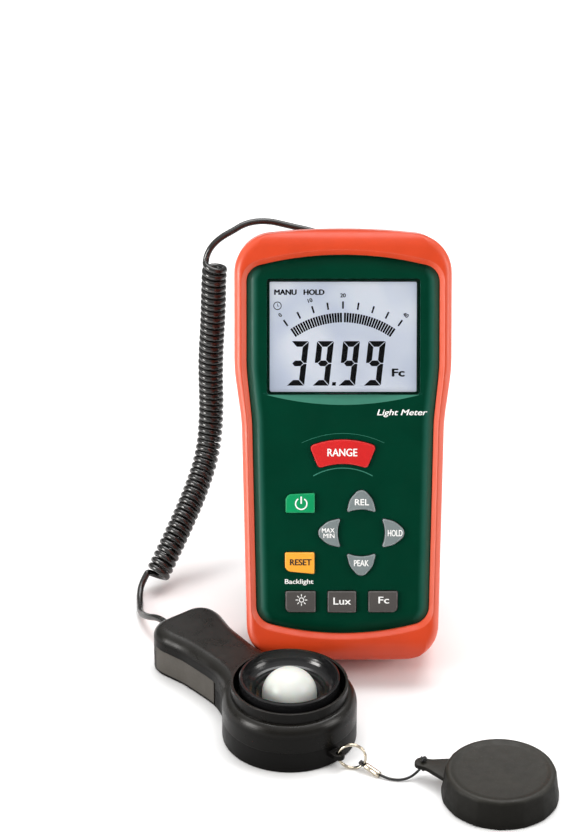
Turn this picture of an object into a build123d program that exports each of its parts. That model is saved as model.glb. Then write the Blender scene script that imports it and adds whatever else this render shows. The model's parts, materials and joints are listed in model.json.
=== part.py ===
from build123d import *
import math
import os

# Light meter in a rubber boot on its tilt stand, with a remote sensor on a curly cord and a
# sensor cap on a lanyard. Millimetres. +Z is up. The origin is the middle of the boot's foot,
# the small flat that stands on the desk, and the display faces -Y.
#
# The meter is drawn in its own frame and then leaned back as one piece: x to the right,
# v up the face (0 at the bottom end, 150 at the top) and w from the back (0) to the front (36).
# The sensor is drawn with its head's centre at the origin and its handle along +X.

# ---------------------------------------------------------------- driving dimensions
LENGTH = 150.0
HALF_WIDTH = 37.5
DEPTH = 36.0
LEAN = 25.0                # degrees back from upright, as the tilt stand holds it
BOOT_WALL = 2.6
CASE_WALL = 2.0
GAP = 0.1                  # between the boot and the case
PART_LINE = 17.0           # w where the two case halves meet
SHOULDER = 32.4            # w of the case under the boot's lip
FACE = 34.2                # w of the case's face
LIP_EDGE = 34.2            # w where the slope inside the boot's lip begins
LIP_SLOPE = 44.0           # degrees that it opens out from the upright
FACE_ROUND = 5.6           # radius of the face's rounded border
FACE_TUCK = 1.2            # how far that border runs on under the boot's lip
REAR_ROUND = 13.0          # side-view corner radius at the rear of the bottom end
FOOT_CUT = 0.4             # how much of that corner the flat foot takes off

WINDOW = (-26.3, 93.1, 26.6, 133.2)      # x, v, x, v
WINDOW_LEDGE = 1.2
SILL_TIP = 89.6            # lowest point of the sloping sill under the window
SILL_R = 311.0
LENS_THICK = 0.9
BOARD_BACK = 23.2
BOARD_THICK = 1.6
BOARD_FRONT = BOARD_BACK + BOARD_THICK
CASE_BOSSES = ((-29.3, 118.0), (29.3, 118.0), (-25.0, 18.5), (25.0, 18.5))
BOARD_POSTS = ((-25.2, 66.0), (25.2, 66.0), (0.0, 138.0))

KEY_TRAVEL = 0.8
KEY_TOP = FACE + 1.1
KEY_FOOT = 28.6
KEY_CLEAR = 0.25
RING_CENTRE = (6.4, 45.2)  # middle of the four arrow-shaped keys

DOOR_SCREW_V = 67.6
HINGE_V = 92.0             # stand hinge, up the back
HINGE_W = 1.25
STAND_LENGTH = 82.0
STAND_THICK = 2.2
STAND_HALF = 20.0
STAND_SLOT = 7.8           # lower edge of the boot's opening for the stand

GLAND_X = -5.0
GLAND_AIM = (0.35, -0.9367)   # v, w: out of the rounded rear edge of the top end
TOP_REAR_ROUND = 12.0

HEAD = (-18.5, -53.9)      # sensor head's centre on the desk
HANDLE_ANGLE = 128.3       # degrees, from +X to the sensor's handle
HEAD_R = 22.9
SHOULDER_TOP = 17.6        # top of the head's rounded shoulder
COLLAR_R = 19.9
COLLAR_TOP = 21.6
CUP_R = 17.0
CUP_TOP = 23.8
DOME_R = 9.35
HANDLE_END = 65.0
PROBE_LINE = 8.0           # height where the sensor's shells meet
HANDLE_TOP = 16.8
CORD_HEIGHT = 9.0
PROBE_BOSSES = ((14.5, 12.0), (14.5, -12.0), (50.0, 0.0))
GRIP = (29.0, 59.0, 1.3, 10.2)   # the grip insert's ends along the handle, and its heights

WIRE_R = 1.1
COIL_R = 4.65
UPPER_LEAD = (
    (-5.0, 72.7, 123.9), (-5.3, 78.6, 123.6), (-10.2, 83.2, 123.4), (-18.0, 84.6, 124.6),
    (-27.0, 84.2, 127.2), (-35.6, 81.4, 127.0), (-42.6, 77.6, 122.2), (-45.4, 75.0, 115.0),
)
COIL_PATH = (
    (-45.4, 75.0, 115.0), (-45.9, 75.2, 94.0), (-47.3, 75.8, 73.0), (-46.9, 75.4, 54.0),
    (-48.2, 70.6, 39.0), (-52.6, 60.6, 28.6), (-58.4, 49.4, 19.4), (-63.6, 41.2, 11.4),
    (-67.3, 36.6, 5.0),
)
LOWER_LEAD = (
    (-67.3, 36.6, 5.0), (-70.6, 32.6, 2.3), (-72.6, 26.3, 1.4), (-72.2, 18.6, 2.0),
    (-69.2, 10.6, 5.5), (-64.86, 4.80, 9.0), (-62.13, 1.35, 9.0),
)

LUG_ANGLE = -50.0          # degrees from +X, where the sensor's eye stands out
LUG_REACH = 25.5
SPLIT_RING_R = 4.6
SPLIT_WIRE_R = 0.45
SPLIT_TURN = -8.0          # degrees that the split ring's plane is turned about the upright
FERRULE_R = 1.1
FERRULE_LENGTH = 6.2
STRING_R = 0.45
LANYARD = (
    (6.89, -75.29, 2.24), (10.8, -78.5, 1.25), (14.2, -80.5, 0.62), (18.2, -81.4, 0.6),
    (21.8, -80.7, 1.2), (24.75, -79.32, 3.2),
)

CAP_CENTRE = (51.2, -89.0)
CAP_R = 19.6
CAP_TOP_R = 18.5
CAP_HEIGHT = 10.4
CAP_TAB_ANGLE = 158.6      # degrees from +X to the tab's hole
CAP_TAB_REACH = 27.6
CAP_TAB_Z = 5.0

tilt = math.radians(LEAN)
CONTACT_Y = REAR_ROUND * (math.sin(tilt) - math.cos(tilt))
CONTACT_Z = REAR_ROUND * (math.cos(tilt) + math.sin(tilt) - 1) + FOOT_CUT
METER = Location((0, -CONTACT_Y, -CONTACT_Z), (90 - LEAN, 0, 0))
SENSOR = Location((HEAD[0], HEAD[1], 0), (0, 0, HANDLE_ANGLE))
os.makedirs("parts", exist_ok=True)


def save(name, shape, place=None):
    """Writes one node, moved to its place first."""
    export_step(shape if place is None else place * shape, f"parts/{name}.step")


# ---------------------------------------------------------------- shared shapes
def waisted(bottom, top, corner_v, half, waist, foot, top_r, foot_r, inset=0.0):
    """Closed outline of the meter: bowed ends, straight sides and a slight waist.
    half, waist and foot are half widths at the top, below the waist and at the bottom."""
    top_in, bottom_in = top - inset, bottom + inset
    high, low = corner_v[1] - inset, corner_v[0] + inset
    right = [
        (foot - inset, low), (waist - inset, 84.0), (half - inset, 102.0), (half - inset, high)
    ]
    with BuildSketch() as sketch:
        with BuildLine():
            ThreePointArc((-right[3][0], high), (0, top_in), right[3])
            Polyline(right[3], right[2], right[1], right[0])
            ThreePointArc(right[0], (0, bottom_in), (-right[0][0], low))
            Polyline(*[(-x, v) for x, v in right])
        make_face()
        fillet(sketch.vertices().sort_by(Axis.Y)[:2], foot_r - inset)
        fillet(sketch.vertices().filter_by(lambda p: abs(p.Y - 84) < 0.1), 60)
        fillet(sketch.vertices().filter_by(lambda p: abs(p.Y - 102) < 0.1), 60)
        fillet(sketch.vertices().sort_by(Axis.Y)[-2:], top_r - inset)
    return sketch.sketch


def body_outline(inset=0.0):
    return waisted(0.0, LENGTH, (1.2, 146.9), HALF_WIDTH, 35.0, 33.0, 13.5, 12.5, inset)


def face_outline(inset=0.0):
    return waisted(10.0, 141.4, (14.6, 136.6), 33.3, 31.4, 29.9, 6.0, 6.5, inset)


def side_view(inset, front):
    """Side view of the meter as a solid across its whole width, with its four rounded corners."""
    radii = [REAR_ROUND - inset, 8.0 - inset, 6.0 - inset, TOP_REAR_ROUND - inset]
    corners = [(inset, inset), (inset, front), (LENGTH - inset, front), (LENGTH - inset, inset)]
    with BuildPart() as solid:
        with BuildSketch(Plane.YZ):
            with BuildLine():
                FilletPolyline(*corners, radius=radii, close=True)
            make_face()
        extrude(amount=HALF_WIDTH + 2, both=True)
    return solid.part


def slab(sketch, low, high):
    """A sketch pulled up from w = low to w = high."""
    return Pos(0, 0, low) * extrude(sketch, high - low, dir=(0, 0, 1))


def shaped_slab(inset, low, high, front=None):
    """The meter's body outline and side view together, set in by inset."""
    block = slab(body_outline(inset), low, high)
    return block & side_view(inset, DEPTH - inset if front is None else front)


def rod(x, v, low, high, radius):
    return Pos(x, v, (low + high) / 2) * Cylinder(radius, high - low)


def plate(x0, v0, x1, v1, low, high, radius=0.0):
    """A flat plate from corner to corner, w from low to high, with rounded upright edges."""
    shape = Rectangle(x1 - x0, v1 - v0)
    if radius:
        shape = fillet(shape.vertices(), radius)
    return Pos((x0 + x1) / 2, (v0 + v1) / 2, low) * extrude(shape, high - low)


def aimed(start, aim):
    """A plane at start whose Z runs along aim."""
    return Plane(origin=start, z_dir=aim)


def turned(profile, axis=Axis.Z):
    """A closed (radius, height) outline turned about the Z axis."""
    with BuildPart() as solid:
        with BuildSketch(Plane.XZ):
            with BuildLine():
                Polyline(*profile, close=True)
            make_face()
        revolve(axis=axis)
    return solid.part


def route(points):
    """Straight runs joined by tangent arcs, each as large as its two runs allow."""
    vectors = [Vector(*p) for p in points]
    radii = []
    for before, here, after in zip(vectors, vectors[1:], vectors[2:]):
        turn = math.radians((here - before).get_angle(after - here))
        shorter = min((here - before).length, (after - here).length)
        radii.append(0.45 * shorter / math.tan(turn / 2))
    line = FilletPolyline(*points, radius=radii)
    return line, radii


def tube(name, points, radius):
    """A round tube along a route; prints its radii and checks its volume."""
    line, radii = route(points)
    start = Plane(origin=line @ 0, z_dir=line % 0)
    solid = sweep(start * Circle(radius), path=line)
    expected = math.pi * radius**2 * line.length
    print(name, "length", round(line.length, 1), "radii", [round(r, 1) for r in radii],
          "volume / section x length", round(solid.volume / expected, 4))
    return solid


# ---------------------------------------------------------------- boot and case
def rubber_boot():
    outer = slab(body_outline(), 0, DEPTH)
    rims = outer.edges().filter_by(Plane.XY)
    outer = fillet(rims.group_by(Axis.Z)[-1], 3.0)
    outer = fillet(outer.edges().filter_by(Plane.XY).group_by(Axis.Z)[0], 2.5)
    outer = outer & side_view(0.0, DEPTH)
    boot = outer - shaped_slab(BOOT_WALL, BOOT_WALL, SHOULDER + GAP, SHOULDER + GAP)
    boot -= slab(face_outline(), SHOULDER - 1, DEPTH + 1)
    boot -= Pos(0, 0, LIP_EDGE) * extrude(face_outline(), 3.0, taper=-LIP_SLOPE)
    boot -= plate(-22.6, STAND_SLOT, 22.6, 97.0, -1, BOOT_WALL + 1, 4.0)
    boot -= gland_frame() * Pos(0, 0, 12) * Cylinder(3.4, 10)
    return boot - foot_trim()


def foot_trim():
    """What lies under the desk's surface, in the meter's frame."""
    under = Pos(0, 0, -5) * Box(200, 200, 10)
    return METER.inverse() * under


def gland_frame():
    """Frame on the cord gland's axis, with its Z out of the case."""
    centre = (GLAND_X, LENGTH - TOP_REAR_ROUND, TOP_REAR_ROUND)
    return aimed(centre, (0, *GLAND_AIM))


def window_cut():
    x0, v0, x1, v1 = WINDOW
    pocket = plate(x0, v0, x1, v1, FACE - WINDOW_LEDGE, FACE + 1, 1.2)
    hole = plate(x0 + 1.0, v0 + 0.9, x1 - 1.0, v1 - 0.9, SHOULDER - 6, FACE, 0.8)
    return pocket + hole


def sill_cut():
    """Crescent-shaped slope from the face down to the window's lower edge: a wide, nearly flat
    cylinder whose axis leans towards the window."""
    slope = math.degrees(math.atan2(WINDOW_LEDGE, WINDOW[1] - SILL_TIP))
    roller = Pos(0, 0, SILL_R) * Rot(90, 0, 0) * Cylinder(SILL_R, 60)
    roller = Pos(0, SILL_TIP, FACE) * Rot(-slope, 0, 0) * roller
    return roller & plate(-27.5, SILL_TIP - 1, 27.5, WINDOW[1] + 0.5, FACE - 2, FACE + 2)


def front_case(key_sketches):
    inset = BOOT_WALL + GAP
    shell = shaped_slab(inset, PART_LINE, SHOULDER, SHOULDER)
    face = slab(face_outline(-FACE_TUCK), FACE - FACE_ROUND - 1.5, FACE)
    face = fillet(face.edges().filter_by(Plane.XY).group_by(Axis.Z)[-1], FACE_ROUND)
    shell += face & slab(body_outline(inset), PART_LINE, DEPTH)
    shell -= shaped_slab(inset + CASE_WALL, PART_LINE - 1, SHOULDER - CASE_WALL,
                         SHOULDER - CASE_WALL)
    shell -= slab(face_outline(2.4), SHOULDER - CASE_WALL - 1, FACE - CASE_WALL)
    for x, v in CASE_BOSSES:
        shell += rod(x, v, PART_LINE, FACE - CASE_WALL - 0.4, 3.0)
        shell -= rod(x, v, PART_LINE - 1, 27.0, 1.21)
    for x, v in BOARD_POSTS:
        shell += rod(x, v, BOARD_FRONT, FACE - CASE_WALL + 0.2, 2.0)
        shell -= rod(x, v, BOARD_FRONT - 1, 30.0, 0.91)
    shell -= window_cut() + sill_cut()
    for sketch in key_sketches:
        shell -= slab(offset(sketch, KEY_CLEAR), SHOULDER - 4, FACE + 1)
    return shell


def rear_case():
    inset = BOOT_WALL + GAP
    shell = shaped_slab(inset, inset, PART_LINE, SHOULDER)
    shell -= shaped_slab(inset + CASE_WALL, inset + CASE_WALL, PART_LINE + 1, SHOULDER)
    for x, v in CASE_BOSSES:
        shell += rod(x, v, inset + 1, PART_LINE, 3.0)
        shell -= rod(x, v, inset - 1, PART_LINE + 1, 1.4)
        shell -= rod(x, v, inset - 1, inset + 2.1, 2.3)
    for side in (-1, 1):
        shell += Pos(side * 15.4, 38.5, 10.0) * Box(1.2, 54, 13)
        lug = Pos(side * 21.2, HINGE_V, 1.6) * Box(1.8, 3.4, 2.9)
        shell += lug - foot_side_rounding(side)
    shell -= Pos(0, HINGE_V, HINGE_W) * Rot(0, 90, 0) * Cylinder(0.72, 43.4)
    shell -= plate(-14.6, 13.6, 14.6, 65.4, 0, 8)
    shell += plate(-3.4, 66.2, 3.4, 71.6, inset + CASE_WALL - 0.5, 12.0)
    shell -= plate(-3.5, 65.0, 3.5, 70.6, 0, inset + CASE_WALL)
    shell -= rod(0, DOOR_SCREW_V, 0, 11.0, 1.02)
    return shell - gland_frame() * Pos(0, 0, 9) * Cylinder(2.95, 8)


def foot_side_rounding(side):
    """Rounds the outer end of a hinge lug so that the boot's opening clears it."""
    return Pos(side * 22.6, HINGE_V, 0.0) * Rot(0, side * 45, 0) * Box(1.0, 5, 1.0)


def battery_door():
    low = BOOT_WALL + GAP
    door = plate(-14.35, 13.85, 14.35, 65.15, low, low + CASE_WALL, 0.5)
    door += plate(-3.3, 64.0, 3.3, 70.4, low, low + CASE_WALL - 0.1, 0.5)
    door -= rod(0, DOOR_SCREW_V, low - 1, low + 3, 1.15)
    door -= rod(0, DOOR_SCREW_V, low - 1, low + 1.0, 2.0)
    for index in range(5):
        door -= Pos(0, 22.0 + 2.2 * index, low) * Box(14, 0.9, 0.7)
    return door


def door_screw():
    low = BOOT_WALL + GAP
    screw = rod(0, DOOR_SCREW_V, low + 0.1, low + 1.0, 1.9)
    screw += rod(0, DOOR_SCREW_V, low + 0.9, low + 7.6, 1.0)
    return screw - Pos(0, DOOR_SCREW_V, low) * Box(2.6, 0.5, 1.0)


# ---------------------------------------------------------------- display and electronics
def window_lens():
    x0, v0, x1, v1 = WINDOW
    low = FACE - WINDOW_LEDGE
    return plate(x0 + 0.1, v0 + 0.1, x1 - 0.1, v1 - 0.1, low, low + LENS_THICK, 1.1)


def lcd_glass():
    return plate(-25.9, 92.6, 25.9, 134.4, 29.8, 31.9)


def lcd_frame():
    frame = plate(-25.9, 92.6, 25.9, 134.4, BOARD_FRONT + 0.1, 29.7)
    frame -= plate(-23.9, 96.6, 23.9, 130.4, 27.4, 30)
    for v in (94.3, 132.7):
        frame -= Pos(0, v, 27) * Box(46.4, 1.9, 8)
    return frame


def backlight_panel():
    return plate(-23.8, 96.7, 23.8, 130.3, 27.45, 29.6)


def zebra_strips():
    return [Pos(0, v, (BOARD_FRONT + 29.75) / 2) * Box(46.2, 1.7, 29.75 - BOARD_FRONT - 0.05)
            for v in (94.3, 132.7)]


def main_board():
    board = plate(-28.0, 14.4, 28.0, 140.6, BOARD_BACK, BOARD_FRONT, 1.5)
    for x, v in CASE_BOSSES:
        board -= rod(x, v, BOARD_BACK - 1, BOARD_FRONT + 1, 3.3)
    for x, v in BOARD_POSTS:
        board -= rod(x, v, BOARD_BACK - 1, BOARD_FRONT + 1, 1.1)
    return board


def controller_chip():
    chip = plate(-9, 84, 9, 90.5, BOARD_FRONT, BOARD_FRONT + 1.6)
    return chamfer(chip.edges().group_by(Axis.Z)[-1], 0.4)


def keypad_mat(centres):
    mat = plate(-22.0, 15.8, 22.0, 79.6, BOARD_FRONT + 0.05, BOARD_FRONT + 1.2, 2.0)
    for x, v in centres:
        dome = Pos(x, v, BOARD_FRONT + 1.1) * extrude(Circle(2.3), 1.6, taper=25)
        mat += dome
    return mat


def battery():
    block = plate(-13.25, 14.6, 13.25, 61.4, 5.0, 22.5, 2.0)
    for x in (-6.35, 6.35):
        stud = Pos(x, 61.4, 13.7) * Rot(-90, 0, 0) * Cylinder(2.6 if x > 0 else 3.6, 1.6,
                                                             align=(Align.CENTER, Align.CENTER,
                                                                    Align.MIN))
        block += stud
    return block


def battery_snap():
    snap = Pos(0, 64.6, 13.7) * Box(24.4, 2.4, 12.0)
    return fillet(snap.edges().filter_by(Axis.Y), 3.0)


def battery_leads():
    leads = []
    for x in (-4.0, 4.0):
        points = ((x, 65.8, 14.0), (x, 69.8, 14.0), (x * 1.2, 73.6, 16.2), (x * 1.3, 75.2, 20.0),
                  (x * 1.3, 75.2, BOARD_BACK))
        leads.append(tube("battery lead", points, 0.6))
    return leads


def case_screws():
    low = BOOT_WALL + GAP
    screws = []
    for x, v in CASE_BOSSES:
        screw = rod(x, v, low + 0.5, low + 2.1, 2.2) + rod(x, v, low + 2.0, 25.5, 1.2)
        screw -= Pos(x, v, low + 0.5) * Box(2.6, 0.5, 1.4)
        screw -= Pos(x, v, low + 0.5) * Box(0.5, 2.6, 1.4)
        screws.append(screw)
    return screws


def board_screws():
    return [rod(x, v, BOARD_BACK - 1.2, BOARD_BACK, 1.9) + rod(x, v, BOARD_BACK - 0.1, 29.0, 0.9)
            for x, v in BOARD_POSTS]


def cord_gland():
    """Flange inside the case, a neck through the wall and a tapered sleeve outside."""
    profile = [(0, 5.0), (3.3, 5.0), (3.3, 6.1), (2.9, 6.1), (2.9, 12.6), (2.5, 13.2),
               (1.45, 19.0), (0, 19.0)]
    sleeve = turned(profile)
    for turn in (0, 90):
        for height in (14.4, 16.0, 17.6):
            sleeve -= Pos(0, 0, height) * Rot(0, 0, turn) * Box(8, 1.4, 0.6) - Pos(
                0, 0, height) * Cylinder(1.35, 1)
    return gland_frame() * sleeve


# ---------------------------------------------------------------- keys
def polygon(points, radii):
    return make_face(FilletPolyline(*points, radius=radii, close=True).edges())


def range_sketch():
    """A piece of a ring about a point near the middle of the round key group."""
    centre_v, inner, outer, half = 47.2, 22.0, 30.4, 22.3
    low, high = math.radians(90 - half), math.radians(90 + half)
    with BuildSketch() as sketch:
        with BuildLine():
            points = []
            for radius in (inner, outer):
                for angle in (low, math.pi / 2, high):
                    points.append((radius * math.cos(angle), centre_v + radius * math.sin(angle)))
            ThreePointArc(*points[0:3])
            Line(points[2], points[5])
            ThreePointArc(points[5], points[4], points[3])
            Line(points[3], points[0])
        make_face()
        fillet(sketch.vertices(), 1.4)
    return sketch.sketch


def arrow_sketch(direction):
    """One key of the round group, pointing out of its middle; direction in degrees."""
    with BuildSketch() as sketch:
        with BuildLine():
            FilletPolyline((5.1, 7.0), (4.0, 11.6), (0, 16.2), (-4.0, 11.6), (-5.1, 7.0),
                           radius=[6.0, 2.6, 6.0])
            ThreePointArc((-5.1, 7.0), (0, 8.2), (5.1, 7.0))
        make_face()
        fillet(sketch.vertices().filter_by(lambda p: abs(p.X) > 5), 0.5)
    return Pos(*RING_CENTRE) * Rot(0, 0, direction - 90) * sketch.sketch


def key_sketches():
    slant = 0.5
    power = [(-19.8, 52.2), (-9.7, 52.2), (-9.7, 59.1), (-19.8, 58.6)]
    reset = [(-20.0, 31.4 + slant), (-9.8, 31.4 - slant), (-9.8, 38.4), (-20.0, 38.4)]
    backlight = [(-19.8, 17.6), (-9.4, 17.6), (-9.4, 24.9), (-19.8, 24.9)]
    lux = [(-5.2, 17.5), (4.6, 17.5), (4.6, 24.9), (-5.2, 24.9)]
    footcandle = [(8.9, 17.6), (19.0, 17.6), (19.0, 24.9), (8.9, 24.9)]
    return {
        "key_range": range_sketch(),
        "key_power": polygon(power, [0.5, 0.5, 0.5, 2.2]),
        "key_reset": polygon(reset, [2.2, 0.5, 0.5, 0.5]),
        "key_relative": arrow_sketch(90),
        "key_max_min": arrow_sketch(180),
        "key_hold": arrow_sketch(0),
        "key_peak": arrow_sketch(-90),
        "key_backlight": polygon(backlight, [1.8, 0.5, 0.5, 0.5]),
        "key_lux": polygon(lux, [0.5, 0.5, 0.5, 0.5]),
        "key_footcandle": polygon(footcandle, [0.5, 2.0, 0.5, 0.5]),
    }


def key(sketch):
    """A key cap with the flange that keeps it under the case's face."""
    cap = slab(sketch, KEY_FOOT + 2.3, KEY_TOP)
    cap = fillet(cap.edges().filter_by(Plane.XY).group_by(Axis.Z)[-1], 0.4)
    cap += slab(offset(sketch, 0.8), FACE - CASE_WALL - 1.1, FACE - CASE_WALL - 0.1)
    centre = sketch.face().center()
    return cap + rod(centre.X, centre.Y, KEY_FOOT, KEY_FOOT + 2.6, 2.0)


# ---------------------------------------------------------------- tilt stand
def hinge_point():
    return METER * Pos(0, HINGE_V, HINGE_W)


def stand_place():
    """Frame at the stand's hinge, Z down the opened stand to its foot on the desk."""
    hinge = hinge_point().position
    drop = hinge.Z - STAND_THICK / 2
    back = math.sqrt(STAND_LENGTH**2 - drop**2)
    print("stand closes through", round(math.degrees(math.atan2(back, drop)) + LEAN, 2), "deg")
    return Plane(origin=hinge, x_dir=(1, 0, 0), z_dir=(0, back, -drop))


def tilt_stand():
    barrel = Rot(0, 90, 0) * Cylinder(STAND_THICK / 2, 2 * STAND_HALF)
    blade = Pos(0, 0, STAND_LENGTH / 2) * Box(2 * STAND_HALF, STAND_THICK, STAND_LENGTH)
    foot = Pos(0, 0, STAND_LENGTH) * Rot(0, 90, 0) * Cylinder(STAND_THICK / 2, 2 * STAND_HALF)
    stand = blade + barrel + foot - Rot(0, 90, 0) * Cylinder(0.76, 60)
    for index in range(6):
        stand -= Pos(0, STAND_THICK / 2, 16 + 9 * index) * Box(26, 0.8, 4.0)
    return stand - Pos(0, 0, STAND_LENGTH + 1) * Rot(90, 0, 0) * Cylinder(5.0, 5)


def stand_pin():
    return hinge_point() * Rot(0, 90, 0) * Cylinder(0.7, 43.2)


# ---------------------------------------------------------------- sensor
def sensor_outline(inset=0.0):
    """Round head with a handle that narrows to a neck and widens again to its square tail."""
    half = [(10.2, 34.0), (10.9, 46.0), (13.2, 56.0)]
    tail = 12.2
    with BuildSketch() as sketch:
        with BuildLine():
            FilletPolyline((0, -9.8), (half[0][1], -half[0][0]), (half[1][1], -half[1][0]),
                           (half[2][1], -half[2][0]), (HANDLE_END, -tail), (HANDLE_END, tail),
                           (half[2][1], half[2][0]), (half[1][1], half[1][0]),
                           (half[0][1], half[0][0]), (0, 9.8),
                           radius=[0, 60, 30, 12, 7.4, 7.4, 12, 30, 60, 0], close=True)
        make_face()
        Circle(HEAD_R)
        necks = sketch.vertices().filter_by(lambda p: 15 < p.X < 24)
        fillet(necks, 22)
        if inset:
            offset(amount=-inset)
    return sketch.sketch


def head_block(extra=0.0):
    """The raised round shoulder and collar of the sensor's head."""
    r = HEAD_R - extra
    reach, rise = HEAD_R - COLLAR_R - 0.2, 4.6
    profile = [(0, PROBE_LINE), (r, PROBE_LINE)]
    steps = 10
    for index in range(steps + 1):
        angle = math.radians(90 * index / steps)
        profile.append((r - reach * (1 - math.cos(angle)),
                        SHOULDER_TOP - rise * (1 - math.sin(angle))))
    profile += [(COLLAR_R - extra, SHOULDER_TOP), (COLLAR_R - extra, COLLAR_TOP - extra),
                (0, COLLAR_TOP - extra)]
    return turned(profile)


def probe_shell():
    body = slab(sensor_outline(), PROBE_LINE, HANDLE_TOP)
    body = fillet(body.edges().filter_by(Plane.XY).group_by(Axis.Z)[-1], 4.0)
    body += head_block()
    hollow = slab(sensor_outline(1.8), PROBE_LINE - 1, HANDLE_TOP - 2.4)
    body -= hollow
    body -= turned([(0, 12), (COLLAR_R - 0.9, 12), (COLLAR_R - 0.9, 25), (0, 25)])
    body += turned([(15.0, 11.0), (HEAD_R - 1.6, 11.0), (HEAD_R - 1.6, 12.4), (15.0, 12.4)])
    for (x, y), top in zip(PROBE_BOSSES, (11.2, 11.2, HANDLE_TOP - 2.0)):
        body += rod(x, y, PROBE_LINE, top, 2.3)
        body -= rod(x, y, 7, top - 0.6, 0.91)
    for side in (-1, 1):
        body -= grip_pocket(side)
    body -= Pos(HANDLE_END - 1, 0, CORD_HEIGHT) * Rot(0, 90, 0) * Cylinder(2.25, 8)
    return body


def handle_side(side, depth, x0, x1, low, high):
    """The outer skin of one side of the handle, between two places along it."""
    skin = sensor_outline() - sensor_outline(depth)
    middle = Pos((x0 + x1) / 2, side * 10, (low + high) / 2)
    return extrude(skin, HANDLE_TOP) & middle * Box(x1 - x0, 12, high - low)


def grip_block(side):
    x0, x1, low, high = GRIP
    return handle_side(side, 1.0, x0, x1, low, high)


def grip_pocket(side):
    """The pocket for a grip insert, longer than it at the head's end, where a slot shows."""
    x0, x1, low, high = GRIP
    return handle_side(side, 1.05, x0 - 0.9, x1 + 0.05, low - 0.05, high + 0.05)


def probe_base():
    base = slab(sensor_outline(), 0, PROBE_LINE)
    base = fillet(base.edges().filter_by(Plane.XY).group_by(Axis.Z)[0], 0.8)
    base -= slab(sensor_outline(1.8), 1.8, PROBE_LINE + 1)
    for x, y in PROBE_BOSSES:
        base += rod(x, y, 1.5, PROBE_LINE, 2.6)
        base -= rod(x, y, -1, 9, 1.1)
        base -= rod(x, y, -1, 1.4, 2.0)
    for side in (-1, 1):
        base -= grip_pocket(side)
    base -= Pos(HANDLE_END - 1, 0, CORD_HEIGHT) * Rot(0, 90, 0) * Cylinder(2.25, 8)
    return base + sensor_eye()


def sensor_eye():
    """Flat eye that stands out of the head for the split ring."""
    turn = LUG_ANGLE - HANDLE_ANGLE
    eye = Pos(LUG_REACH, 0, 0) * Cylinder(2.1, 1.8) + Pos(23.5, 0, 0) * Box(3.4, 4.2, 1.8)
    eye -= Pos(LUG_REACH, 0, 0) * Cylinder(1.05, 4)
    return Pos(0, 0, 5.05) * Rot(0, 0, turn) * eye


def sensor_cup():
    """Bowl round the dome, with two steps at its foot, standing just above the collar."""
    profile = [(8.0, 12.6), (CUP_R, 12.6), (CUP_R, CUP_TOP - 0.4), (CUP_R - 0.4, CUP_TOP),
               (CUP_R - 1.0, CUP_TOP)]
    steps = 8
    rim, foot = (CUP_R - 1.0, CUP_TOP), (12.0, 18.6)
    for index in range(1, steps + 1):
        angle = math.radians(90 * index / steps)
        profile.append((foot[0] + (rim[0] - foot[0]) * math.cos(angle),
                        rim[1] - (rim[1] - foot[1]) * math.sin(angle)))
    profile += [(11.6, 18.3), (11.3, 17.2), (10.5, 17.0), (9.75, 16.6), (9.75, 15.0), (8.0, 15.0)]
    return turned(profile)


def diffuser_dome():
    dome = Pos(0, 0, 16.6) * Sphere(DOME_R) & Pos(0, 0, 21.5) * Box(30, 30, 10)
    dome += rod(0, 0, 15.1, 16.8, DOME_R)
    inner = Pos(0, 0, 16.6) * Sphere(DOME_R - 1.2) & Pos(0, 0, 21.5) * Box(30, 30, 10)
    return dome - inner - rod(0, 0, 15, 16.8, DOME_R - 1.2)


def light_filter():
    return rod(0, 0, 13.2, 14.3, 7.7)


def photodiode():
    return Pos(0, 0, 11.4) * Box(8, 8, 1.8) + Pos(0, 0, 12.4) * Box(6.2, 6.2, 0.4)


def sensor_board():
    board = rod(0, 0, 9.3, 10.45, 12.5) + plate(8, -5.4, 44, 5.4, 9.3, 10.45)
    return board


def probe_screws():
    return [rod(x, y, 0.25, 1.4, 1.9) + rod(x, y, 1.3, top, 0.9)
            for (x, y), top in zip(PROBE_BOSSES, (10.4, 10.4, 13.6))]


def probe_gland():
    """Collar inside the tail and a tapered sleeve on the cord."""
    profile = [(0, -3.0), (3.4, -3.0), (3.4, -1.9), (2.2, -1.9), (2.2, 0.6), (1.9, 1.2),
               (1.35, 5.4), (0, 5.4)]
    sleeve = turned(profile)
    return Pos(HANDLE_END, 0, CORD_HEIGHT) * Rot(0, 90, 0) * sleeve


# ---------------------------------------------------------------- ring, lanyard and cap
def split_ring_place():
    angle = math.radians(LUG_ANGLE)
    eye = Vector(HEAD[0] + LUG_REACH * math.cos(angle), HEAD[1] + LUG_REACH * math.sin(angle), 0)
    turn = math.radians(SPLIT_TURN)
    reach = Vector(math.cos(turn), math.sin(turn), 0) * SPLIT_RING_R
    centre = eye + reach + Vector(0, 0, SPLIT_RING_R + SPLIT_WIRE_R)
    return Location(tuple(centre)) * Rot(0, 0, SPLIT_TURN) * Rot(90, 0, 0)


def split_ring():
    return split_ring_place() * Torus(SPLIT_RING_R, SPLIT_WIRE_R)


def lanyard_loop():
    """Eye of string round the split ring, closed by the ferrule."""
    start, end = Vector(*LANYARD[0]), Vector(*LANYARD[1])
    along = (end - start).normalized()
    around = split_ring_place() * Rot(0, 0, -35) * Pos(SPLIT_RING_R, 0, 0)
    wire = Plane(around).y_dir
    axis = wire - along * wire.dot(along)
    return Plane(origin=start - along, x_dir=along, z_dir=axis) * Torus(1.15, 0.4)


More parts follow.
